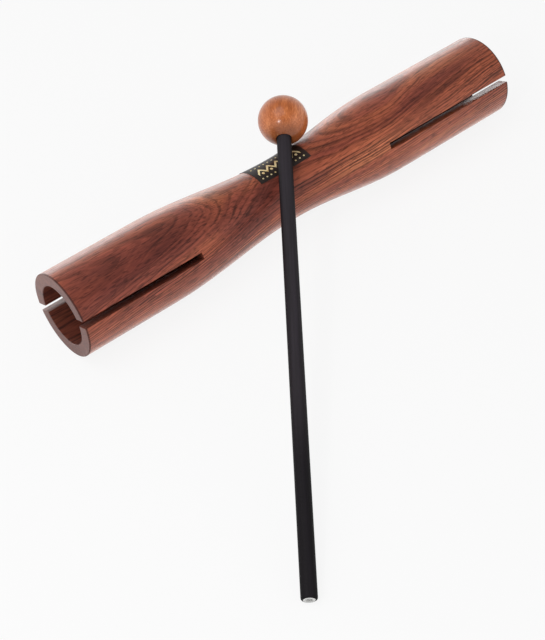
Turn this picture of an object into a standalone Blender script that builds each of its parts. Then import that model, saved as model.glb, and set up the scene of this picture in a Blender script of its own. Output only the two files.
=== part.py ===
"""Two-tone block with its beater, at rest on a table.

The block is one turned bar of hardwood with a waist for the hand. Each end is bored to an open chamber and
sawn with one slot across the bore. The chamber with the longer slot sounds lower. The beater, a rod with a
wooden ball on it, leans over the waist with its butt on the table.
"""

import math

import bmesh
import bpy
from mathutils import Matrix, Vector
from mathutils.geometry import intersect_line_line

MM = 0.001
FULL_TURN = 2 * math.pi

# Block, along +X from its high-tone end to its low-tone end
BLOCK_LENGTH = 271.0 * MM
BARREL_RADIUS = 21.75 * MM
HIGH_BARREL_LENGTH = 52.4 * MM
LOW_BARREL_LENGTH = 71.3 * MM
WAIST_RADIUS = 16.05 * MM
WAIST_FROM_HIGH_END = 131.7 * MM
RIM_ROUNDING = 0.4 * MM
BORE_EDGE_BREAK = 0.25 * MM

# Chambers, and the saw slots that open them through both walls
CHAMBER_RADIUS = 15.35 * MM
CHAMBER_CORNER = 1.0 * MM
HIGH_SLOT_LENGTH = 68.0 * MM
LOW_SLOT_LENGTH = 83.0 * MM
CHAMBER_PAST_SLOT = 8.0 * MM
SLOT_WIDTH = 3.5 * MM
SLOT_ABOVE_LEVEL = math.radians(27)

# Label wrapped over the top of the waist, in angles up from level on the near side
LABEL_LENGTH = 31.5 * MM
LABEL_THICKNESS = 0.2 * MM
LABEL_ADHESIVE = 0.15 * MM
LABEL_LOWER_EDGE = math.radians(75)
LABEL_UPPER_EDGE = math.radians(141)

# Beater
STICK_RADIUS = 3.6 * MM
BUTT_ROUNDING = 0.8 * MM
HEAD_RADIUS = 12.5 * MM
BUTT_TO_HEAD_CENTRE = 250.8 * MM
SOCKET_PAST_CENTRE = 3.0 * MM
SOCKET_COUNTERSINK = 0.5 * MM

# Place of the beater: heading from the block's axis, where it crosses that in plan, and its butt's reach
BEATER_HEADING = math.radians(52.3)
CROSSING_FROM_MIDDLE = -1.3 * MM
BUTT_REACH = 178.1 * MM

# Play round the stick: in the ball's socket, and over the label
GAP = 0.3 * MM

# Facets of the turned shapes; with this slot angle 60 puts a flat of the block on the table
BLOCK_FACETS = 60
HEAD_FACETS = 32
STICK_FACETS = 24
WAIST_STEPS = 10
CORNER_STEPS = 3
MERGE_DISTANCE = 0.01 * MM

BLOCK_AXIS_HEIGHT = BARREL_RADIUS * math.cos(math.pi / BLOCK_FACETS)
WAIST_AT = WAIST_FROM_HIGH_END - BLOCK_LENGTH / 2


def new_collection(name):
    collection = bpy.data.collections.new(name)
    bpy.context.scene.collection.children.link(collection)
    return collection


def material(name, srgb, roughness):
    """A plain dielectric finish from an sRGB colour in 0 to 255."""
    linear = [((c / 255 + 0.055) / 1.055) ** 2.4 for c in srgb]
    finish = bpy.data.materials.new(name)
    finish.use_nodes = True
    shader = finish.node_tree.nodes["Principled BSDF"]
    shader.inputs["Base Color"].default_value = (*linear, 1)
    shader.inputs["Roughness"].default_value = roughness
    shader.inputs["Metallic"].default_value = 0
    return finish


def axis_empty(name, collection):
    empty = bpy.data.objects.new(name, None)
    collection.objects.link(empty)
    return empty


def arc(centre, radius, start, end):
    """Points (radius, height) along a corner's rounding, both ends included."""
    angles = [start + (end - start) * i / CORNER_STEPS for i in range(CORNER_STEPS + 1)]
    return [(centre[0] + radius * math.cos(a), centre[1] + radius * math.sin(a)) for a in angles]


def turned(name, outline, facets, collection, parent, finish, sweep=FULL_TURN):
    """A piece turned about its own Z from (radius, height) points that run down its outer side."""
    mesh = bpy.data.meshes.new(name)
    points = [(radius, 0, height) for radius, height in outline]
    mesh.from_pydata(points, [(i, i + 1) for i in range(len(points) - 1)], [])
    mesh.materials.append(finish)
    piece = bpy.data.objects.new(name, mesh)
    piece.parent = parent
    collection.objects.link(piece)
    screw = piece.modifiers.new("Turning", "SCREW")
    screw.axis = "Z"
    screw.angle = sweep
    screw.steps = facets
    screw.render_steps = facets
    screw.use_merge_vertices = True
    screw.merge_threshold = MERGE_DISTANCE
    screw.use_smooth_shade = True
    return piece


def block_radius(along):
    """Outer radius at a distance along the block from its middle: two barrels and a smooth waist."""
    half = BLOCK_LENGTH / 2
    shoulder = half - LOW_BARREL_LENGTH if along > WAIST_AT else HIGH_BARREL_LENGTH - half
    rise = min((along - WAIST_AT) / (shoulder - WAIST_AT), 1)
    return WAIST_RADIUS + (BARREL_RADIUS - WAIST_RADIUS) * (1 - math.cos(math.pi * rise)) / 2


def open_end(depth):
    """Outline of one end, from its chamber floor to the outer rim, with the end face at height 0."""
    corner = (CHAMBER_RADIUS - CHAMBER_CORNER, CHAMBER_CORNER - depth)
    rim = (BARREL_RADIUS - RIM_ROUNDING, -RIM_ROUNDING)
    outline = [(0, -depth)]
    outline += arc(corner, CHAMBER_CORNER, -math.pi / 2, 0)
    outline += [(CHAMBER_RADIUS, -BORE_EDGE_BREAK), (CHAMBER_RADIUS + BORE_EDGE_BREAK, 0)]
    outline += arc(rim, RIM_ROUNDING, math.pi / 2, 0)
    return outline


def block_outline():
    half = BLOCK_LENGTH / 2
    low_depth = LOW_SLOT_LENGTH + CHAMBER_PAST_SLOT
    high_depth = HIGH_SLOT_LENGTH + CHAMBER_PAST_SLOT
    low_end = [(radius, half + height) for radius, height in open_end(low_depth)]
    high_end = [(radius, -half - height) for radius, height in open_end(high_depth)]
    low_shoulder = half - LOW_BARREL_LENGTH
    high_shoulder = HIGH_BARREL_LENGTH - half
    steps = [i / WAIST_STEPS for i in range(WAIST_STEPS + 1)]
    waist = [low_shoulder + (WAIST_AT - low_shoulder) * t for t in steps]
    waist += [WAIST_AT + (high_shoulder - WAIST_AT) * t for t in steps[1:]]
    return low_end + [(block_radius(along), along) for along in waist] + high_end[::-1]


def slot_cutter(name, end, length, collection, parent):
    """A saw slot's slab: across the whole bore, from past the end face to the slot's square bottom."""
    outwards = math.copysign(1, end)
    width_across = 2.2 * BARREL_RADIUS
    past_end = RIM_ROUNDING
    mesh = bpy.data.meshes.new(name)
    slab = bmesh.new()
    bmesh.ops.create_cube(slab, size=1)
    bmesh.ops.scale(slab, vec=(width_across, SLOT_WIDTH, length + past_end), verts=slab.verts)
    middle = end + outwards * (past_end - length) / 2
    bmesh.ops.translate(slab, vec=(0, 0, middle), verts=slab.verts)
    slab.to_mesh(mesh)
    slab.free()
    cutter = bpy.data.objects.new(name, mesh)
    cutter.parent = parent
    cutter.hide_render = True
    cutter.display_type = "WIRE"
    collection.objects.link(cutter)
    return cutter


def cut(piece, cutter):
    boolean = piece.modifiers.new(cutter.name, "BOOLEAN")
    boolean.operation = "DIFFERENCE"
    boolean.solver = "EXACT"
    boolean.object = cutter


def near_side(angle):
    """Turn about the block's axis that carries a first facet to an angle up from level, near side."""
    return -(math.pi / 2 + angle)


def make_body(parts, cutters, axis):
    """The turned bar, bored from both ends by its outline and then sawn."""
    wood = material("Lacquered red hardwood", (126, 70, 55), 0.45)
    body = turned("tone_block", block_outline(), BLOCK_FACETS, parts, axis, wood)
    body.rotation_euler.z = near_side(SLOT_ABOVE_LEVEL)
    for name, end, length in (
        ("high_slot", -BLOCK_LENGTH / 2, HIGH_SLOT_LENGTH),
        ("low_slot", BLOCK_LENGTH / 2, LOW_SLOT_LENGTH),
    ):
        cutter = slot_cutter(name, end, length, cutters, axis)
        cutter.rotation_euler.z = near_side(SLOT_ABOVE_LEVEL)
        cut(body, cutter)
    return body


def make_label(parts, axis):
    """A thin film that follows the waist over a part of a turn, facet on facet with the wood under it."""
    film = material("Black label film", (34, 28, 26), 0.35)
    places = [WAIST_AT + LABEL_LENGTH * (0.5 - i / WAIST_STEPS) for i in range(WAIST_STEPS + 1)]
    underside = [(block_radius(along) + LABEL_ADHESIVE, along) for along in places]
    sweep = LABEL_UPPER_EDGE - LABEL_LOWER_EDGE
    facets = round(BLOCK_FACETS * sweep / FULL_TURN)
    label = turned("label", underside, facets, parts, axis, film, sweep)
    label.rotation_euler.z = near_side(LABEL_UPPER_EDGE)
    wall = label.modifiers.new("Thickness", "SOLIDIFY")
    wall.thickness = LABEL_THICKNESS
    wall.offset = 1
    return label


def make_block(parts, cutters):
    """The body and its label, on an empty along the block's axis, where a turn of 0 points down."""
    axis = axis_empty("block_axis", parts)
    axis.location.z = BLOCK_AXIS_HEIGHT
    axis.rotation_euler.y = math.pi / 2
    return axis, [make_body(parts, cutters, axis), make_label(parts, axis)]


def beater_line(tilt):
    """The middle of the butt, with its edge on the table, and the way the stick points at this tilt."""
    height = STICK_RADIUS * math.cos(tilt) + BUTT_ROUNDING * (1 - math.cos(tilt) - math.sin(tilt))
    butt = Vector((CROSSING_FROM_MIDDLE - BUTT_REACH / math.tan(BEATER_HEADING), -BUTT_REACH, height))
    level = math.cos(tilt)
    way = Vector((level * math.cos(BEATER_HEADING), level * math.sin(BEATER_HEADING), math.sin(tilt)))
    return butt, way


def seat_on_waist():
    """The tilt at which the stick clears the labelled waist by the gap, and how far from its butt."""
    block_middle = Vector((0, 0, BLOCK_AXIS_HEIGHT))
    along_block = block_middle + Vector((1, 0, 0))
    seated = WAIST_RADIUS + LABEL_ADHESIVE + LABEL_THICKNESS + GAP + STICK_RADIUS
    flat, steep = 0, math.pi / 4
    for _ in range(40):
        tilt = (flat + steep) / 2
        butt, way = beater_line(tilt)
        on_stick, on_block = intersect_line_line(butt, butt + way, block_middle, along_block)
        apart = math.copysign((on_stick - on_block).length, on_stick.z - on_block.z)
        flat, steep = (tilt, steep) if apart < seated else (flat, tilt)
    return tilt, (on_stick - butt).length


def make_stick(parts, seat, butt, head_centre):
    """A round rod with an eased butt, from its butt's height to the bottom of the ball's socket."""
    black = material("Black rod", (40, 39, 40), 0.4)
    top = head_centre + SOCKET_PAST_CENTRE
    edge = (STICK_RADIUS - BUTT_ROUNDING, butt + BUTT_ROUNDING)
    outline = [(0, top), (STICK_RADIUS, top)]
    outline += arc(edge, BUTT_ROUNDING, 0, -math.pi / 2)
    outline += [(0, butt)]
    return turned("beater_stick", outline, STICK_FACETS, parts, seat, black)


def make_head(parts, seat, centre):
    """A turned ball with a blind, countersunk socket for the stick."""
    tan = material("Lacquered ball wood", (178, 103, 68), 0.35)
    socket = STICK_RADIUS + GAP
    socket_top = SOCKET_PAST_CENTRE + GAP
    mouth_angle = math.asin((socket + SOCKET_COUNTERSINK) / HEAD_RADIUS)
    mouth_height = -HEAD_RADIUS * math.cos(mouth_angle)
    rings = HEAD_FACETS // 2
    angles = [(math.pi - mouth_angle) * i / rings for i in range(rings + 1)]
    outline = [(HEAD_RADIUS * math.sin(a), HEAD_RADIUS * math.cos(a)) for a in angles]
    outline += [(socket, mouth_height + SOCKET_COUNTERSINK), (socket, socket_top), (0, socket_top)]
    head = turned("beater_head", outline, HEAD_FACETS, parts, seat, tan)
    head.location.z = centre
    return head


def make_beater(parts):
    """The stick and its head, on an empty where the stick lies on the waist, its Z along the stick."""
    tilt, butt_to_seat = seat_on_waist()
    butt, way = beater_line(tilt)
    seat = axis_empty("beater_seat", parts)
    seat.location = butt + butt_to_seat * way
    seat.rotation_euler = (0, math.pi / 2 - tilt, BEATER_HEADING)
    head_centre = BUTT_TO_HEAD_CENTRE - butt_to_seat
    stick = make_stick(parts, seat, -butt_to_seat, head_centre)
    return seat, [stick, make_head(parts, seat, head_centre)]


def stand_on_origin(roots, pieces):
    """Shift the set so that its box stands centred on the origin."""
    graph = bpy.context.evaluated_depsgraph_get()
    points = []
    for piece in pieces:
        solid = piece.evaluated_get(graph)
        points += [solid.matrix_world @ vertex.co for vertex in solid.data.vertices]
    low = Vector([min(values) for values in zip(*points)])
    high = Vector([max(values) for values in zip(*points)])
    to_origin = Matrix.Translation((-(low.x + high.x) / 2, -(low.y + high.y) / 2, -low.z))
    for root in roots:
        root.location = to_origin @ root.location


def main():
    for old in list(bpy.data.objects):
        bpy.data.objects.remove(old)
    parts = new_collection("Tone block")
    cutters = new_collection("Tone block cutters")
    block_axis, block_pieces = make_block(parts, cutters)
    beater_seat, beater_pieces = make_beater(parts)
    stand_on_origin((block_axis, beater_seat), block_pieces + beater_pieces)


main()
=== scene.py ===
from math import asin, cos, degrees, pi, radians, sin, sqrt

import bmesh
import bpy
from mathutils import Euler, Matrix, Vector


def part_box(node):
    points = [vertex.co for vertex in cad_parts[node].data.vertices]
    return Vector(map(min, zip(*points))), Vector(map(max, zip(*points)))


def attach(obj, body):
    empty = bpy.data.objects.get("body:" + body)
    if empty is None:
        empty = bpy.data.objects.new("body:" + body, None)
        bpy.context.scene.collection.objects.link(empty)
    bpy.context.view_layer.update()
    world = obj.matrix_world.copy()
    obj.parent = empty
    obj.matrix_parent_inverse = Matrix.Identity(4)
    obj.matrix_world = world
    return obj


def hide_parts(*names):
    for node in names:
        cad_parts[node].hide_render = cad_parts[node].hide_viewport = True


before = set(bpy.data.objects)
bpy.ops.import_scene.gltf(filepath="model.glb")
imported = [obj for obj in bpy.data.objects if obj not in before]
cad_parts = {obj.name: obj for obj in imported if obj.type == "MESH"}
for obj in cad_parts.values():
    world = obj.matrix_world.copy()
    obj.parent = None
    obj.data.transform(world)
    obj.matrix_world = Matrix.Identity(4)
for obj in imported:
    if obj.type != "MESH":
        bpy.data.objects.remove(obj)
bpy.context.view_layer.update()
scene = bpy.context.scene
scene.view_settings.view_transform = "Standard"
mm = 0.001
alongBlock = Vector((1, 0, 0))
mergeDistance = 1e-7    # metres, for vertices that are one
touching = 1e-6         # metres, for vertices that lie on a cut
hair = 0.01             # millimetres, for faces that lie on a size
sharpAngle = 30         # degrees, over which an edge is drawn sharp


def middleOf(node):
    low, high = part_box(node)
    return (Vector(low) + Vector(high)) / 2


blockMiddle = middleOf("tone_block")
headMiddle = middleOf("beater_head")
print("frame loaded, block middle", [round(v / mm, 2) for v in blockMiddle])


# Camera of the photograph: angles in degrees, the rest in millimetres, slides from the block's middle
photoView = {
    "turn": -40.168, "height": 48.329, "roll": 0.22,
    "away": 741.19, "aside": -6.996, "above": -66.793,
    "lens": 83.588, "sensor": 36, "nearest": 10,
}


def addCamera(view):
    turned = Euler((radians(90 - view["height"]), 0, radians(view["turn"]))).to_matrix()
    turned = turned @ Matrix.Rotation(radians(view["roll"]), 3, "Z")
    slide = Vector((view["aside"], view["above"], view["away"])) * mm
    lens = bpy.data.cameras.new("photoCamera")
    lens.lens = view["lens"]
    lens.sensor_fit = "VERTICAL"
    lens.sensor_height = view["sensor"]
    lens.clip_start = view["nearest"] * mm
    camera = bpy.data.objects.new("photoCamera", lens)
    camera.matrix_world = Matrix.Translation(blockMiddle + turned @ slide) @ turned.to_4x4()
    scene.collection.objects.link(camera)
    scene.camera = camera


addCamera(photoView)
print("camera placed")


# Turned body, in millimetres from the middle of its length, with slotRise in degrees up from level
blockShape = {
    "half": 135.5, "barrel": 21.72, "waist": 16.05, "waistAt": -3.8,
    "highShoulder": -83.1, "lowShoulder": 64.2,
    "bore": 15.35, "highChamber": 76, "lowChamber": 91, "floorCorner": 1.0,
    "rimRound": 0.4, "rimBand": 0.35, "boreBreak": 0.25,
    "highSlot": 68, "lowSlot": 83, "slotWidth": 3.5, "slotRise": 27, "slotEase": 0.4,
    "steps": 120, "boreStations": 20, "highStations": 12, "waistStations": 36, "lowStations": 16,
}


def blockRadius(along):
    s = blockShape
    shoulder = s["highShoulder"] if along < s["waistAt"] else s["lowShoulder"]
    rise = min(1, abs(along - s["waistAt"]) / abs(shoulder - s["waistAt"]))
    return s["waist"] + (s["barrel"] - s["waist"]) * (1 - cos(pi * rise)) / 2


# Beater, in millimetres along its stick from the cut end, with heading and tilt in degrees
beaterShape = {
    "heading": 52.3, "tilt": 9.85, "stickRadius": 3.6, "buttRound": 1.0, "buttRing": 1.44,
    "buttToHead": 250.8, "stickPastMiddle": 2.7, "stickSteps": 64, "stickStations": 16,
    "ballRadius": 12.5, "ballSteps": 96, "ballStations": 48,
    "socketRadius": 3.68, "socketPastMiddle": 3.0, "countersink": 0.45, "socketStations": 4,
}


def beaterLine():
    heading, tilt = radians(beaterShape["heading"]), radians(beaterShape["tilt"])
    axis = Vector((cos(heading) * cos(tilt), sin(heading) * cos(tilt), sin(tilt)))
    return axis, axis.orthogonal().normalized()


# Materials
def hexColor(text):
    parts = [int(text[i:i + 2], 16) / 255 for i in (1, 3, 5)]
    linear = [p / 12.92 if p <= 0.04045 else ((p + 0.055) / 1.055) ** 2.4 for p in parts]
    return (*linear, 1)


def newMaterial(name):
    material = bpy.data.materials.new(name)
    material.use_nodes = True
    material.node_tree.nodes.clear()
    return material


def addNode(owner, kind, sockets=(), stops=(), **settings):
    # sockets are values or links, in the node's own order or under their names
    tree = owner.node_tree
    made = tree.nodes.new(kind)
    for name, value in settings.items():
        setattr(made, name, value)
    named = sockets if isinstance(sockets, dict) else dict(enumerate(sockets))
    for key, value in named.items():
        if isinstance(value, bpy.types.NodeSocket):
            tree.links.new(value, made.inputs[key])
        else:
            made.inputs[key].default_value = value
    if stops:
        ramp = made.color_ramp
        while len(ramp.elements) < len(stops):
            ramp.elements.new(1)
        for element, (place, color) in zip(ramp.elements, stops):
            element.position = place
            element.color = hexColor(color)
    return made


def inMillimetres(owner, middle, turn=(0, 0, 0)):
    # millimetres from the given middle, along axes that are turned by the given angles
    place = addNode(owner, "ShaderNodeTexCoord").outputs["Object"]
    return addNode(owner, "ShaderNodeMapping", {
        "Vector": place, "Location": middle, "Rotation": turn, "Scale": (mm, mm, mm)},
        vector_type="TEXTURE").outputs[0]


def alongBeater(owner):
    # millimetres from the ball's middle, with x along the stick and z on its upper side
    turn = (0, -radians(beaterShape["tilt"]), radians(beaterShape["heading"]))
    return inMillimetres(owner, headMiddle, turn)


def streaks(owner, place, length, across, depth, detail):
    # noise drawn out along x, with its sizes in millimetres
    scale = (1 / length, 1 / across, 1 / depth)
    spot = addNode(owner, "ShaderNodeVectorMath", (place, scale), operation="MULTIPLY").outputs[0]
    return addNode(owner, "ShaderNodeTexNoise", {
        "Vector": spot, "Scale": 1, "Detail": detail, "Roughness": 0.6}).outputs[0]


noiseSpan = (0.3, 0.7)      # where most values of a noise lie

# Rosewood, turned, sanded and lacquered: growth rings seen as long streaks that arch where the waist cuts
# them, orange tan to purple brown, with fine dark pores along the grain under a satin film
rosewoodFigure = {
    "ringDip": 13,          # degrees by which the planes of the rings dip towards the back
    "ringTwist": 0.18,      # degrees by which they dip more for each mm towards the low end
    "ringClimb": 1.7,       # degrees by which they climb towards the low end
    "pithDepth": 110,       # mm from the axis to the heart of the tree
    "wanderDepth": 2.6,     # mm by which the rings wander to either side
    "tones": [(0.25, "#5B2A24"), (0.42, "#7C3D2F"), (0.54, "#954F36"), (0.7, "#B16A47")],
    "bandShare": 0.4, "toneShift": 0.3,
    # shades of the streaks: noise from and to, then brightness from and to
    "ringShade": (0.42, 0.64, 1.06, 0.78), "veinShade": (0.56, 0.63, 1.06, 0.66),
    "fibreShade": (0.3, 0.7, 0.77, 1.25), "poreShade": (0.53, 0.66, 1.05, 0.56),
    # growth lines: mm between them, and radians by which the ring noise shifts them
    "growthSpacing": 1.4, "growthShift": 5,
    # mm over the axis where the rings are cut edge-on and flat, with the lines' crest and strength there
    "edgeOnToFlat": (4, 17), "growthCrest": (0, 0.6), "growthStrength": (2.6, 0.95),
    # brightness added between and on the lines, then their strength by field noise and by tone of the wood
    "growthShade": (0.2, -1), "growthByField": (0.42, 0.58, 0.1, 0.3), "growthByTone": (0.3, 0.48, 0.5, 1),
    "roughnessSwing": 0.05,
}
# patterns along the rings: mm along, across and through them, then detail, with rings, fibres and pores
# drawn coarser than real
rosewoodPatterns = {
    "wander": (70, 24, 24, 2), "band": (130, 34, 3.6, 3), "ring": (90, 20, 1.05, 4),
    "vein": (80, 10, 0.75, 1), "field": (70, 16, 7, 1),
    "fibre": (10, 0.65, 0.7, 2), "pore": (5.5, 0.65, 0.7, 1),
}
# places where the rings bulge: mm along, degrees up from level, half length and width in mm, bulge in mm
rosewoodBulges = [
    (-12, 95, 56, 19, -1.8), (62, 95, 55, 17, 1.5), (120, 85, 60, 20, -1.3), (-46, 112, 22, 14, -1.4),
]
# soft lighter and darker places, partly the wood's own figure and partly painted light and shade in bands
# by height round the block: mm along, degrees up from level, half length and width in mm, strength
rosewoodZones = [
    (-98, 53, 62, 22, -0.2), (-100, 92, 55, 13, -0.07), (-95, 112, 60, 9, 0.04), (-95, 33, 62, 9, 0.08),
    (-46, 106, 16, 12, 0.1), (-40, 85, 20, 10, -0.08), (-38, 48, 28, 13, -0.14), (-40, 14, 40, 10, -0.03),
    (-16, 60, 17, 10, -0.16), (36, 68, 30, 11, -0.04), (38, 38, 44, 11, 0.11), (38, 14, 44, 10, 0.01),
    (40, 106, 30, 9, 0.08), (56, 96, 24, 8, -0.05), (104, 96, 32, 10, 0.08), (92, 72, 50, 11, -0.07),
    (95, 10, 60, 13, 0.02), (95, -12, 60, 10, 0.06),
]
# finishes of the outside, sawn ends, chambers, near walls of the high slot in painted shade,
# rims in painted shade and the open low slot, in that order: a colour laid over the figure and its share,
# roughness, depth of the pores in mm, gloss and a pale sheen
woodFinishes = {
    "lacqueredRosewood": {"roughness": 0.38, "bump": 0.04, "gloss": 0.2, "sheen": 0.27},
    "sawnRosewood": {"veil": "#5C4B49", "share": 0.74, "roughness": 0.6, "bump": 0.1, "gloss": 0.4},
    "boredRosewood": {"veil": "#3A1712", "share": 0.7, "roughness": 0.6, "bump": 0.1, "gloss": 0.2},
    # painted shade: the near walls of the high slot, the same sawn wood as its far walls, drawn dark
    "slotWallsPaintedShade": {"veil": "#421A0F", "share": 0.75, "roughness": 0.7, "bump": 0.1, "gloss": 0.15},
    # painted shade: a dark band round the outer edge of each end
    "rimPaintedShade": {"veil": "#2E1B18", "share": 0.75, "roughness": 0.5, "bump": 0.05, "gloss": 0.2},
    "openSlotRosewood": {"veil": "#733A22", "share": 0.8, "roughness": 0.31, "bump": 0.1, "gloss": 0.11},
}
hillTop = 0.8       # value of a spherical gradient over which a soft spot is level


def softSpot(owner, place, along, rise, halfLength, halfWidth, strength):
    # a smooth hill of the given strength round a point of the block's surface
    reach = blockRadius(along)
    middle = blockMiddle + Vector((along, -reach * cos(radians(rise)), reach * sin(radians(rise)))) * mm
    spot = addNode(owner, "ShaderNodeMapping", {
        "Vector": place, "Location": middle, "Scale": (halfLength * mm, halfWidth * mm, halfWidth * mm)},
        vector_type="TEXTURE").outputs[0]
    hill = addNode(owner, "ShaderNodeTexGradient", (spot,), gradient_type="SPHERICAL").outputs[1]
    return addNode(owner, "ShaderNodeMapRange", (hill, 0, hillTop, 0, strength),
                   interpolation_type="SMOOTHSTEP").outputs[0]


def ringDepth(wood, place, grain, along, aside, above):
    # depth from the heart of the tree, with a wander, a twist and bulges so that streaks aren't straight
    figure = rosewoodFigure
    fromPith = addNode(wood, "ShaderNodeMath", (above, figure["pithDepth"])).outputs[0]
    fromPith = addNode(wood, "ShaderNodeCombineXYZ", (0, aside, fromPith)).outputs[0]
    depth = addNode(wood, "ShaderNodeVectorMath", (fromPith,), operation="LENGTH").outputs["Value"]
    wander = streaks(wood, grain, *rosewoodPatterns["wander"])
    twist = addNode(wood, "ShaderNodeMath", (along, aside), operation="MULTIPLY").outputs[0]
    for offset, amount in ((wander, 2 * figure["wanderDepth"]), (twist, radians(figure["ringTwist"]))):
        depth = addNode(wood, "ShaderNodeMath", (offset, amount, depth),
                        operation="MULTIPLY_ADD").outputs[0]
    for bulge in rosewoodBulges:
        depth = addNode(wood, "ShaderNodeMath", (depth, softSpot(wood, place, *bulge))).outputs[0]
    return depth


def growthLines(wood, depth, above, tone, patterns):
    # regular dark lines along the rings, bold where the rings are cut edge-on, thin where they are cut flat
    # and faint in dark wood
    figure = rosewoodFigure
    cut = (above, *figure["edgeOnToFlat"])
    turns = addNode(wood, "ShaderNodeMath", (depth, 2 * pi / figure["growthSpacing"]),
                    operation="MULTIPLY").outputs[0]
    phase = addNode(wood, "ShaderNodeMath", (patterns["ring"], figure["growthShift"], turns),
                    operation="MULTIPLY_ADD").outputs[0]
    swell = addNode(wood, "ShaderNodeMath", (phase,), operation="SINE").outputs[0]
    crest = addNode(wood, "ShaderNodeMapRange", (*cut, *figure["growthCrest"])).outputs[0]
    line = addNode(wood, "ShaderNodeMapRange", (swell, crest, 1, *figure["growthShade"]),
                   interpolation_type="SMOOTHSTEP").outputs[0]
    strength = addNode(wood, "ShaderNodeMapRange", (patterns["field"], *figure["growthByField"]),
                       interpolation_type="SMOOTHSTEP").outputs[0]
    byCut = addNode(wood, "ShaderNodeMapRange", (*cut, *figure["growthStrength"])).outputs[0]
    byTone = addNode(wood, "ShaderNodeMapRange", (tone, *figure["growthByTone"])).outputs[0]
    for share in (byCut, byTone):
        strength = addNode(wood, "ShaderNodeMath", (strength, share), operation="MULTIPLY").outputs[0]
    return addNode(wood, "ShaderNodeMath", (line, strength, 1), operation="MULTIPLY_ADD").outputs[0]


def rosewood(name):
    wood = newMaterial(name)
    finish = woodFinishes[name]
    figure = rosewoodFigure
    place = addNode(wood, "ShaderNodeTexCoord").outputs["Object"]
    turn = (-radians(figure["ringDip"]), -radians(figure["ringClimb"]), 0)
    grain = inMillimetres(wood, blockMiddle, turn)
    along, aside, above = addNode(wood, "ShaderNodeSeparateXYZ", (grain,)).outputs
    depth = ringDepth(wood, place, grain, along, aside, above)
    ringPlace = addNode(wood, "ShaderNodeCombineXYZ", (along, aside, depth)).outputs[0]
    patterns = {}
    for key in ("band", "ring", "vein", "field", "fibre", "pore"):
        patterns[key] = streaks(wood, ringPlace, *rosewoodPatterns[key])

    tone = addNode(wood, "ShaderNodeMath", (patterns["band"], figure["bandShare"], figure["toneShift"]),
                   operation="MULTIPLY_ADD").outputs[0]
    # tone shifted at the soft places: partly figure, partly painted light and shade
    for zone in rosewoodZones:
        tone = addNode(wood, "ShaderNodeMath", (tone, softSpot(wood, place, *zone))).outputs[0]
    color = addNode(wood, "ShaderNodeValToRGB", (tone,), stops=figure["tones"]).outputs[0]
    line = addNode(wood, "ShaderNodeMapRange", (patterns["ring"], *figure["ringShade"]),
                   interpolation_type="SMOOTHSTEP").outputs[0]
    vein = addNode(wood, "ShaderNodeMapRange", (patterns["vein"], *figure["veinShade"])).outputs[0]
    growth = growthLines(wood, depth, above, tone, patterns)
    fibre = addNode(wood, "ShaderNodeMapRange", (patterns["fibre"], *figure["fibreShade"])).outputs[0]
    pore = addNode(wood, "ShaderNodeMapRange", (patterns["pore"], *figure["poreShade"])).outputs[0]
    for shade in (line, vein, growth, fibre, pore):
        color = addNode(wood, "ShaderNodeVectorMath", {0: color, "Scale": shade},
                        operation="SCALE").outputs[0]
    if "veil" in finish:
        color = addNode(wood, "ShaderNodeMix", {
            "Factor": finish["share"], 6: color, 7: hexColor(finish["veil"])}, data_type="RGBA").outputs[2]

    dull = finish["roughness"] + figure["roughnessSwing"]
    shiny = finish["roughness"] - figure["roughnessSwing"]
    gloss = addNode(wood, "ShaderNodeMapRange", (patterns["fibre"], *noiseSpan, dull, shiny)).outputs[0]
    bump = addNode(wood, "ShaderNodeBump", {
        "Height": pore, "Distance": finish["bump"] * mm, "Strength": 1}).outputs[0]
    skin = addNode(wood, "ShaderNodeBsdfPrincipled", {
        "Base Color": color, "Roughness": gloss, "Normal": bump, "IOR": 1.5,
        "Specular IOR Level": finish["gloss"], "Sheen Weight": finish.get("sheen", 0),
        "Sheen Roughness": 0.41, "Sheen Tint": hexColor("#FFF1E9")})
    addNode(wood, "ShaderNodeOutputMaterial", (skin.outputs[0],))
    return wood


# Stained hardwood ball, turned and lacquered: warm orange tan with short paler and darker flecks along the
# grain, painted shade darkening its lower side round the socket, and painted light on the rest of it
ballFigure = {
    "fleck": (3.4, 0.6, 0.6, 2), "band": (26, 5, 5, 1),     # mm along and across the grain, then detail
    "fleckShare": 0.65, "bandShare": 0.5, "toneShift": -0.075,
    "tones": [(0.3, "#934D26"), (0.5, "#B16132"), (0.72, "#CE7F4C")],
    # painted shade and light: darker on the lower side round the socket, brighter above it
    "paintedShadeAndLight": (-13.5, -6, 0.5, 1.17),    # mm along the stick from and to, then brightness from and to
    "roughness": (0.4, 0.3), "fleckDepth": 0.03,
}


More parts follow.
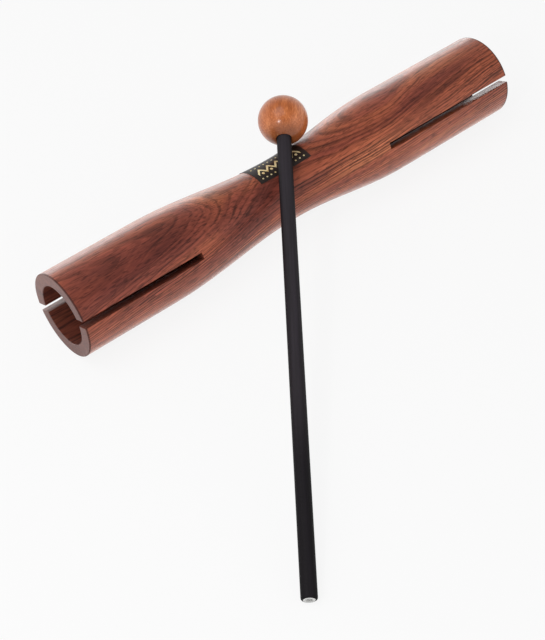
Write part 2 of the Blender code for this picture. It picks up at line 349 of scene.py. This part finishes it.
def ballWood():
    wood = newMaterial("stainedBallWood")
    figure = ballFigure
    grain = alongBeater(wood)
    fleck = streaks(wood, grain, *figure["fleck"])
    band = streaks(wood, grain, *figure["band"])
    tone = addNode(wood, "ShaderNodeMath", (fleck, figure["fleckShare"], figure["toneShift"]),
                   operation="MULTIPLY_ADD").outputs[0]
    tone = addNode(wood, "ShaderNodeMath", (band, figure["bandShare"], tone),
                   operation="MULTIPLY_ADD").outputs[0]
    color = addNode(wood, "ShaderNodeValToRGB", (tone,), stops=figure["tones"]).outputs[0]
    along = addNode(wood, "ShaderNodeSeparateXYZ", (grain,)).outputs[0]
    # painted shade on the lower side round the socket, painted light above it
    paintedShadeAndLight = addNode(wood, "ShaderNodeMapRange", (along, *figure["paintedShadeAndLight"]),
                    interpolation_type="SMOOTHSTEP").outputs[0]
    color = addNode(wood, "ShaderNodeVectorMath", {0: color, "Scale": paintedShadeAndLight}, operation="SCALE").outputs[0]
    gloss = addNode(wood, "ShaderNodeMapRange", (fleck, *noiseSpan, *figure["roughness"])).outputs[0]
    bump = addNode(wood, "ShaderNodeBump", {
        "Height": fleck, "Distance": figure["fleckDepth"] * mm, "Strength": 1}).outputs[0]
    skin = addNode(wood, "ShaderNodeBsdfPrincipled", {
        "Base Color": color, "Roughness": gloss, "Normal": bump, "IOR": 1.5, "Specular IOR Level": 0.2,
        "Coat Weight": 0.7, "Coat Roughness": 0.2})
    addNode(wood, "ShaderNodeOutputMaterial", (skin.outputs[0],))
    return wood


# Pulled glass-fibre rod with a black satin coat: faint lengthwise streaks in colour and gloss, painted
# light on its upper side and painted shade on its flanks, and painted shade darkening it towards the butt
rodFigure = {
    "streak": (60, 1.6, 1.6, 2), "speck": (1.2, 1.2, 1.2, 2),   # mm along and across the rod, then detail
    "tones": [(0.35, "#292629"), (0.65, "#302C31")],
    # painted shade: darker towards the butt end
    "buttPaintedShade": (-195, -150, 0.42, 1),      # mm along the rod from and to, then brightness from and to
    # painted light on the upper side and painted shade on the flanks, by height over the rod's axis
    "paintedTopLightSideShade": (1.4, 3.6, 0.4, 1.2),      # mm above the rod's axis from and to, then brightness from and to
    "roughness": (0.45, 0.58), "speckDepth": 0.02,
}


def blackRod():
    rod = newMaterial("blackGlassFibre")
    figure = rodFigure
    place = alongBeater(rod)
    streak = streaks(rod, place, *figure["streak"])
    speck = streaks(rod, place, *figure["speck"])
    color = addNode(rod, "ShaderNodeValToRGB", (streak,), stops=figure["tones"]).outputs[0]
    parts = addNode(rod, "ShaderNodeSeparateXYZ", (place,)).outputs
    # painted shade towards the butt end
    buttPaintedShade = addNode(rod, "ShaderNodeMapRange", (parts[0], *figure["buttPaintedShade"]),
                   interpolation_type="SMOOTHSTEP").outputs[0]
    # painted light on the upper side, painted shade on the flanks
    paintedTopLightSideShade = addNode(rod, "ShaderNodeMapRange", (parts[2], *figure["paintedTopLightSideShade"])).outputs[0]
    for shade in (buttPaintedShade, paintedTopLightSideShade):
        color = addNode(rod, "ShaderNodeVectorMath", {0: color, "Scale": shade},
                        operation="SCALE").outputs[0]
    gloss = addNode(rod, "ShaderNodeMapRange", (speck, *noiseSpan, *figure["roughness"])).outputs[0]
    bump = addNode(rod, "ShaderNodeBump", {
        "Height": speck, "Distance": figure["speckDepth"] * mm, "Strength": 0.6}).outputs[0]
    skin = addNode(rod, "ShaderNodeBsdfPrincipled", {
        "Base Color": color, "Roughness": gloss, "Normal": bump, "Specular IOR Level": 0.06})
    addNode(rod, "ShaderNodeOutputMaterial", (skin.outputs[0],))
    return rod


# Sawn end of the rod: bundled glass fibres, grey specks in a paler ring of resin, drawn coarser than real
cutFigure = {
    "speck": (0.5, 0.5, 0.5, 1),
    "ring": (1.3, 2.2, -0.1, 0.35),     # mm from the axis from and to, then paleness added from and to
    "tones": [(0.3, "#7C7C7A"), (0.7, "#D2D2D0")],
}


def cutFibre():
    cut = newMaterial("cutGlassFibre")
    figure = cutFigure
    place = alongBeater(cut)
    speck = streaks(cut, place, *figure["speck"])
    across = addNode(cut, "ShaderNodeVectorMath", (place, (0, 1, 1)), operation="MULTIPLY").outputs[0]
    radius = addNode(cut, "ShaderNodeVectorMath", (across,), operation="LENGTH").outputs["Value"]
    ring = addNode(cut, "ShaderNodeMapRange", (radius, *figure["ring"])).outputs[0]
    tone = addNode(cut, "ShaderNodeMath", (speck, ring)).outputs[0]
    color = addNode(cut, "ShaderNodeValToRGB", (tone,), stops=figure["tones"]).outputs[0]
    skin = addNode(cut, "ShaderNodeBsdfPrincipled", {"Base Color": color, "Roughness": 0.6})
    addNode(cut, "ShaderNodeOutputMaterial", (skin.outputs[0],))
    return cut


# Printed label film: near-black satin plastic, with a slight mottle where it follows the wood under it
filmFigure = {
    "mottle": (4.4, 2.2, 2.2, 2), "grit": (0.5, 0.5, 0.5, 1),
    "tones": [(0.3, "#1C1512"), (0.7, "#2A211D")],
    "roughness": (0.36, 0.48), "gritDepth": 0.01,
}


def labelFilm():
    film = newMaterial("labelFilm")
    figure = filmFigure
    place = inMillimetres(film, blockMiddle)
    mottle = streaks(film, place, *figure["mottle"])
    grit = streaks(film, place, *figure["grit"])
    color = addNode(film, "ShaderNodeValToRGB", (mottle,), stops=figure["tones"]).outputs[0]
    gloss = addNode(film, "ShaderNodeMapRange", (mottle, *noiseSpan, *figure["roughness"])).outputs[0]
    bump = addNode(film, "ShaderNodeBump", {
        "Height": grit, "Distance": figure["gritDepth"] * mm, "Strength": 0.5}).outputs[0]
    skin = addNode(film, "ShaderNodeBsdfPrincipled", {
        "Base Color": color, "Roughness": gloss, "Normal": bump, "Specular IOR Level": 0.35})
    addNode(film, "ShaderNodeOutputMaterial", (skin.outputs[0],))
    return film


# Gold foil print: pale warm metal, a little worn, so that its gloss varies
foilFigure = {
    "wear": (1.6, 1.6, 1.6, 2), "tones": [(0.3, "#D8B673"), (0.55, "#FBEBB8")], "roughness": (0.5, 0.34),
}


def goldFoil():
    foil = newMaterial("goldFoil")
    figure = foilFigure
    wear = streaks(foil, inMillimetres(foil, blockMiddle), *figure["wear"])
    color = addNode(foil, "ShaderNodeValToRGB", (wear,), stops=figure["tones"]).outputs[0]
    gloss = addNode(foil, "ShaderNodeMapRange", (wear, *noiseSpan, *figure["roughness"])).outputs[0]
    skin = addNode(foil, "ShaderNodeBsdfPrincipled", {
        "Base Color": color, "Roughness": gloss, "Metallic": 0.4})
    addNode(foil, "ShaderNodeOutputMaterial", (skin.outputs[0],))
    return foil


# Meshes
def spinProfile(points, foot, axis, outward, steps):
    bm = bmesh.new()
    verts = [bm.verts.new(foot + axis * (along * mm) + outward * (radius * mm)) for along, radius in points]
    edges = [bm.edges.new(pair) for pair in zip(verts, verts[1:])]
    bmesh.ops.spin(bm, geom=verts + edges, cent=foot, axis=axis, angle=2 * pi, steps=steps, use_merge=True)
    bmesh.ops.remove_doubles(bm, verts=bm.verts[:], dist=mergeDistance)
    bmesh.ops.recalc_face_normals(bm, faces=bm.faces[:])
    return bm


def quarter(alongMiddle, radiusMiddle, size, startAngle, turn=90, count=5):
    # points on a rounded edge of a turned profile, angles in degrees from the axis
    angles = [radians(startAngle + turn * i / (count - 1)) for i in range(count)]
    return [(alongMiddle + size * cos(a), radiusMiddle + size * sin(a)) for a in angles]


def finishPiece(bm, name, materials, body, node):
    mesh = bpy.data.meshes.new(name)
    for face in bm.faces:
        face.smooth = True
    bm.to_mesh(mesh)
    bm.free()
    mesh.set_sharp_from_angle(angle=radians(sharpAngle))
    for material in materials:
        mesh.materials.append(material)
    piece = bpy.data.objects.new(name, mesh)
    scene.collection.objects.link(piece)
    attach(piece, body)
    if node:
        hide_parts(node)
    print(name, len(mesh.vertices), "vertices")
    return piece


def blockProfile():
    s = blockShape
    ends = []
    for side, chamber in ((-1, s["highChamber"]), (1, s["lowChamber"])):
        bottom = s["half"] - chamber
        rim = s["half"] - s["rimRound"]
        end = [(bottom, 0), (bottom, s["bore"] / 2)]
        end += quarter(bottom + s["floorCorner"], s["bore"] - s["floorCorner"], s["floorCorner"], 180, -90)
        end += [(bottom + chamber * i / s["boreStations"], s["bore"]) for i in range(2, s["boreStations"])]
        end += [(s["half"] - s["boreBreak"], s["bore"]), (s["half"], s["bore"] + s["boreBreak"])]
        end += [(s["half"], (s["bore"] + s["barrel"]) / 2)]
        end += quarter(rim, s["barrel"] - s["rimRound"], s["rimRound"], 0)
        ends.append([(side * along, radius) for along, radius in end])
    high, low = ends
    start, stop = s["highShoulder"], s["lowShoulder"]
    rim = s["half"] - s["rimRound"] - s["rimBand"]
    outer = [-rim + (start + rim) * i / s["highStations"] for i in range(s["highStations"])]
    outer += [start + (stop - start) * i / s["waistStations"] for i in range(s["waistStations"] + 1)]
    outer += [stop + (rim - stop) * i / s["lowStations"] for i in range(1, s["lowStations"] + 1)]
    return high + [(along, blockRadius(along)) for along in outer] + low[::-1]


def sawSlot(bm, side, depth, outward):
    # saws across both walls of one end: they are split along the cut, emptied and lined with sawn faces
    s = blockShape
    across = alongBlock.cross(outward)
    halfWidth = s["slotWidth"] / 2 * mm
    stop = blockMiddle.x + side * (s["half"] - depth) * mm
    slotEnd = Vector((stop, blockMiddle.y, blockMiddle.z))
    everything = bm.verts[:] + bm.edges[:] + bm.faces[:]
    bmesh.ops.bisect_plane(bm, geom=everything, dist=mergeDistance, plane_co=slotEnd, plane_no=alongBlock)
    for way in (-1, 1):
        faces = [f for f in bm.faces if side * (f.calc_center_median().x - stop) > 0]
        edges = list(dict.fromkeys(e for f in faces for e in f.edges))
        verts = list(dict.fromkeys(v for f in faces for v in f.verts))
        bmesh.ops.bisect_plane(bm, geom=verts + edges + faces, dist=mergeDistance,
                               plane_co=blockMiddle + across * halfWidth * way, plane_no=across)

    def fromCut(point):
        return (point - blockMiddle).dot(across)

    sawn = [f for f in bm.faces if side * (f.calc_center_median().x - stop) > 0
            and abs(fromCut(f.calc_center_median())) < halfWidth]
    bmesh.ops.delete(bm, geom=sawn, context="FACES")
    walls = []
    for wall in (-1, 1):
        rim = [e for e in bm.edges if e.is_boundary
               and (e.verts[0].co - blockMiddle).dot(outward) * wall > 0]
        corners = {}
        for v in dict.fromkeys(v for e in rim for v in e.verts):
            if abs(v.co.x - stop) < touching and abs(abs(fromCut(v.co)) - halfWidth) < touching:
                corners.setdefault(fromCut(v.co) > 0, []).append(v)
        posts = {key: bm.edges.new(pair) for key, pair in corners.items()}
        for key, post in posts.items():
            level = halfWidth if key else -halfWidth
            cheek = [e for e in rim if all(abs(fromCut(v.co) - level) < touching for v in e.verts)]
            walls += bmesh.ops.contextual_create(bm, geom=cheek + [post])["faces"]
        back = [e for e in rim if all(abs(v.co.x - stop) < touching for v in e.verts)]
        walls += bmesh.ops.contextual_create(bm, geom=back + list(posts.values()))["faces"]
    return walls


def makeBlock():
    s = blockShape
    lacquered, sawn, bored, paintedSlotShade, rim, openSlot = range(len(woodFinishes))
    rise = radians(s["slotRise"])
    outward = Vector((0, -cos(rise), sin(rise)))
    below = alongBlock.cross(outward)
    bm = spinProfile(blockProfile(), blockMiddle, alongBlock, outward, s["steps"])
    for face in bm.faces:
        spot = face.calc_center_median() - blockMiddle
        radius = sqrt(spot.y ** 2 + spot.z ** 2) / mm
        fromEnd = s["half"] - abs(spot.x) / mm
        face.material_index = lacquered
        if radius < s["bore"] + hair:
            face.material_index = bored
        elif abs(fromEnd) < hair or radius < s["bore"] + s["boreBreak"]:
            face.material_index = sawn
        # painted shade on the outer edge of each end
        elif fromEnd < s["rimRound"] + s["rimBand"] and radius > s["barrel"] - s["rimRound"]:
            face.material_index = rim
    highWalls = sawSlot(bm, -1, s["highSlot"], outward)
    lowWalls = sawSlot(bm, 1, s["lowSlot"], outward)
    # the high slot's near walls get painted shade, its far walls the plain sawn finish
    for face in highWalls:
        isNear = (face.calc_center_median() - blockMiddle).dot(outward) > 0
        face.material_index = paintedSlotShade if isNear else sawn
    for face in lowWalls:
        face.material_index = openSlot
    bmesh.ops.recalc_face_normals(bm, faces=bm.faces[:])
    lined = set(highWalls + lowWalls)
    edges = [e for e in bm.edges if len(set(e.link_faces) & lined) == 1]
    eased = bmesh.ops.bevel(bm, geom=edges, offset=s["slotEase"] * mm, offset_type="OFFSET", affect="EDGES",
                            segments=2, profile=0.5, material=-1, clamp_overlap=True)["faces"]
    for face in eased:
        # the lower lips of both near slots get the same painted shade as the high slot's near walls, and
        # other eased edges keep the finish of a face beside them
        spot = face.calc_center_median() - blockMiddle
        if spot.dot(outward) > s["bore"] * mm and spot.dot(below) > 0:
            face.material_index = paintedSlotShade
    materials = [rosewood(name) for name in woodFinishes]
    return finishPiece(bm, "turnedBlock", materials, "block", "tone_block")


turnedBlock = makeBlock()


def makeStick():
    s = beaterShape
    axis, outward = beaterLine()
    butt = headMiddle - axis * (s["buttToHead"] * mm)
    stop = s["buttToHead"] + s["stickPastMiddle"]
    stations = s["stickStations"]
    profile = [(0, 0), (0, s["buttRing"])]
    profile += quarter(s["buttRound"], s["stickRadius"] - s["buttRound"], s["buttRound"], 180, -90)
    profile += [(stop * i / stations, s["stickRadius"]) for i in range(1, stations + 1)] + [(stop, 0)]
    bm = spinProfile(profile, butt, axis, outward, s["stickSteps"])
    for face in bm.faces:
        fromButt = (face.calc_center_median() - butt).dot(axis)
        face.material_index = 1 if fromButt < hair * mm else 0
    materials = [blackRod(), cutFibre()]
    return finishPiece(bm, "beaterStick", materials, "beater", "beater_stick")


def makeHead():
    s = beaterShape
    axis, outward = beaterLine()
    mouth = s["socketRadius"] + s["countersink"]
    opening = sqrt(s["ballRadius"] ** 2 - mouth ** 2)
    first = 180 - degrees(asin(mouth / s["ballRadius"]))
    bottom, stations = s["socketPastMiddle"], s["socketStations"]
    wall = bottom + opening - s["countersink"]
    profile = [(bottom, 0)]
    profile += [(bottom - wall * i / stations, s["socketRadius"]) for i in range(stations + 1)]
    profile += quarter(0, 0, s["ballRadius"], first, -first, s["ballStations"] + 1)[:-1]
    profile += [(s["ballRadius"], 0)]
    bm = spinProfile(profile, headMiddle, axis, outward, s["ballSteps"])
    return finishPiece(bm, "beaterBall", [ballWood()], "beater", "beater_head")


makeStick()
beaterBall = makeHead()


# Label film on the waist, in millimetres, with its edges in degrees up from level on the near side,
# and a plain gold zigzag and dots at heights over its lower edge
labelShape = {
    "length": 31.5, "lowerEdge": 75, "upperEdge": 141, "underside": 0.03, "thickness": 0.2,
    "columns": 24, "rows": 32, "foil": 0.03,
    "zigzagAt": 7.0, "zigzagHeight": 3.6, "zigzagLine": 1.7, "zigzagCuts": 4,
    "peaks": 5, "peakSpacing": 5.2, "seedSize": 0.75,
    "dotRows": (2.2, 11.8), "dotSize": 0.45, "dots": 11, "dotSpacing": 2.6, "dotSides": 12,
}


def onLabel(along, upward, lift):
    # a point on the waist, from millimetres along from the label's middle, up round it from its lower edge,
    # and off the wood
    s = labelShape
    angle = radians(s["lowerEdge"]) + upward / (blockShape["waist"] + s["thickness"])
    station = blockShape["waistAt"] + along
    reach = blockRadius(station) + lift
    return blockMiddle + Vector((station, -reach * cos(angle), reach * sin(angle))) * mm


def closeShell(bm, thickness):
    # turns all faces of an open sheet on the waist outwards, and gives it a wall inwards
    for face in bm.faces:
        if face.normal.dot(face.calc_center_median() - blockMiddle) < 0:
            face.normal_flip()
    bmesh.ops.solidify(bm, geom=bm.faces[:], thickness=thickness * mm)


def makeLabel():
    s = labelShape
    bm = bmesh.new()
    top = s["underside"] + s["thickness"]
    columns = s["columns"]
    verts = [bm.verts.new(onLabel(s["length"] * (i / columns - 0.5), 0, top)) for i in range(columns + 1)]
    edges = [bm.edges.new(pair) for pair in zip(verts, verts[1:])]
    bmesh.ops.spin(bm, geom=verts + edges, cent=blockMiddle, axis=alongBlock,
                   angle=-radians(s["upperEdge"] - s["lowerEdge"]), steps=s["rows"])
    closeShell(bm, s["thickness"])
    return finishPiece(bm, "labelFilm", [labelFilm()], "block", "label")


def addDot(bm, along, upward, radius):
    made = bmesh.ops.create_circle(bm, cap_ends=True, segments=labelShape["dotSides"],
                                   radius=radius)["verts"]
    bmesh.ops.translate(bm, vec=(along, upward, 0), verts=made)


def makeOrnament():
    # drawn flat in millimetres, then laid on the film
    s = labelShape
    bm = bmesh.new()
    turns = 2 * s["peaks"]
    lower = []
    for i in range(turns + 1):
        upward = s["zigzagAt"] + s["zigzagHeight"] * (i % 2 - 0.5) - s["zigzagLine"] / 2
        lower.append(bm.verts.new(((i / turns - 0.5) * s["peaks"] * s["peakSpacing"], upward, 0)))
    edges = [bm.edges.new(pair) for pair in zip(lower, lower[1:])]
    raised = bmesh.ops.extrude_edge_only(bm, edges=edges)["geom"]
    upper = [v for v in raised if isinstance(v, bmesh.types.BMVert)]
    bmesh.ops.translate(bm, vec=(0, s["zigzagLine"], 0), verts=upper)
    bmesh.ops.subdivide_edges(bm, edges=bm.edges[:], cuts=s["zigzagCuts"], use_grid_fill=True)
    for i in range(s["peaks"]):
        along = (i - (s["peaks"] - 1) / 2) * s["peakSpacing"]
        addDot(bm, along, s["zigzagAt"] - s["zigzagHeight"] / 2, s["seedSize"])
    for upward in s["dotRows"]:
        for i in range(s["dots"]):
            addDot(bm, (i - (s["dots"] - 1) / 2) * s["dotSpacing"], upward, s["dotSize"])
    for v in bm.verts:
        v.co = onLabel(v.co.x, v.co.y, s["underside"] + s["thickness"] + s["foil"])
    bmesh.ops.recalc_face_normals(bm, faces=bm.faces[:])
    closeShell(bm, 2 * s["foil"])
    return finishPiece(bm, "labelOrnament", [goldFoil()], "block", None)


makeLabel()
makeOrnament()


# White sweep: sizes in metres, brightness against plain white, and sines of the heights where it darkens
studio = {
    "floorSize": 8, "floorGrey": 0.9, "paper": 0.968, "shadowShare": 0.1,
    "white": 0.947, "whiteBelow": 0.25, "ceiling": 0.26, "ceilingAbove": 0.8, "cardHeight": 0.002,
}
# Lamps: angles in degrees as for the camera, distance and size in metres, brightness against plain white,
# and seenIn where a lamp adds to the gloss or to the diffuse light alone
lamps = {
    "keyLamp": {"turn": -64, "height": 36, "away": 0.9, "size": (0.085, 0.085), "brightness": 56},
    "sideSoftbox": {"turn": -93, "height": 44, "away": 0.92, "size": (0.8, 0.8), "brightness": 0.9,
                    "sparesBall": True},
    "topSoftbox": {"turn": -110, "height": 70, "away": 0.9, "size": (0.7, 0.7), "brightness": 1.6},
    "fillLamp": {"turn": 24, "height": 29.5, "away": 0.9, "size": (0.6, 0.6), "brightness": 0.5},
    "backStrip": {"turn": 180, "height": 3, "away": 0.15, "size": (0.9, 0.056), "brightness": 5.2,
                  "woodAlone": True, "seenIn": "gloss"},
    "backCard": {"turn": 180, "height": 0, "away": 0.14, "size": (0.9, 0.22), "brightness": 0.6,
                 "woodAlone": True, "onTable": True},
    "frontCard": {"turn": 0, "height": 0, "away": 0.137, "size": (0.9, 0.23), "brightness": 0.68,
                  "woodAlone": True, "onTable": True, "seenIn": "diffuse"},
    "underCard": {"turn": 0, "height": 0, "away": 0.0155, "size": (0.9, 0.007), "brightness": 1.2,
                  "woodAlone": True, "onTable": True, "seenIn": "gloss"},
}


def whiteShare(owner):
    # 1 for rays that should meet plain white: those of the camera, of gloss and of clear material
    rays = addNode(owner, "ShaderNodeLightPath").outputs
    seen = addNode(owner, "ShaderNodeMath", (rays["Is Camera Ray"], rays["Is Glossy Ray"])).outputs[0]
    return addNode(owner, "ShaderNodeMath", (seen, rays["Is Transmission Ray"]), use_clamp=True).outputs[0]


def addFloor():
    bm = bmesh.new()
    bmesh.ops.create_grid(bm, x_segments=1, y_segments=1, size=studio["floorSize"] / 2)
    mesh = bpy.data.meshes.new("paleFloor")
    bm.to_mesh(mesh)
    bm.free()
    paper = newMaterial("whitePaper")
    share = addNode(paper, "ShaderNodeMath", (whiteShare(paper), 1 - studio["shadowShare"]),
                    operation="MULTIPLY").outputs[0]
    grey = studio["floorGrey"]
    matte = addNode(paper, "ShaderNodeBsdfDiffuse", {"Color": (grey, grey, grey, 1)}).outputs[0]
    glow = addNode(paper, "ShaderNodeEmission", {"Strength": studio["paper"]}).outputs[0]
    both = addNode(paper, "ShaderNodeMixShader", (share, matte, glow)).outputs[0]
    addNode(paper, "ShaderNodeOutputMaterial", (both,))
    mesh.materials.append(paper)
    floor = bpy.data.objects.new("paleFloor", mesh)
    scene.collection.objects.link(floor)


def addWorld():
    world = bpy.data.worlds.new("whiteTent")
    world.use_nodes = True
    world.node_tree.nodes.clear()
    way = addNode(world, "ShaderNodeTexCoord").outputs["Generated"]
    rise = addNode(world, "ShaderNodeSeparateXYZ", (way,)).outputs[2]
    level = addNode(world, "ShaderNodeMapRange", (
        rise, studio["whiteBelow"], studio["ceilingAbove"], studio["white"], studio["ceiling"]),
        interpolation_type="SMOOTHSTEP").outputs[0]
    sky = addNode(world, "ShaderNodeBackground", {"Strength": level, "Color": (1, 1, 1, 1)}).outputs[0]
    addNode(world, "ShaderNodeOutputWorld", (sky,))
    scene.world = world


def addLamp(name, lamp):
    turn, height = radians(lamp["turn"]), radians(lamp["height"])
    way = Vector((sin(turn) * cos(height), -cos(turn) * cos(height), sin(height)))
    light = bpy.data.lights.new(name, "AREA")
    light.shape = "RECTANGLE"
    light.size, light.size_y = lamp["size"]
    light.energy = lamp["brightness"] * pi * light.size * light.size_y
    holder = bpy.data.objects.new(name, light)
    holder.location = blockMiddle + way * lamp["away"]
    holder.rotation_euler = way.to_track_quat("Z", "Y").to_euler()
    if "onTable" in lamp:
        # a white card that lies on the table and throws light up
        holder.location.z = studio["cardHeight"]
        holder.rotation_euler = (pi, 0, 0)
    holder.visible_camera = False
    holder.visible_diffuse = lamp.get("seenIn") != "gloss"
    holder.visible_glossy = lamp.get("seenIn") != "diffuse"
    scene.collection.objects.link(holder)
    if "woodAlone" in lamp:
        # set close to the block, to graze its wood alone
        lit = bpy.data.collections.new(name + "Reach")
        lit.objects.link(turnedBlock)
        holder.light_linking.receiver_collection = lit
    if "sparesBall" in lamp:
        # flagged off from the ball, which would be too bright on that side
        spared = bpy.data.collections.new(name + "Spares")
        spared.objects.link(beaterBall)
        spared.collection_objects[0].light_linking.link_state = "EXCLUDE"
        holder.light_linking.receiver_collection = spared


addFloor()
addWorld()
for name, lamp in lamps.items():
    addLamp(name, lamp)
print("studio lit")
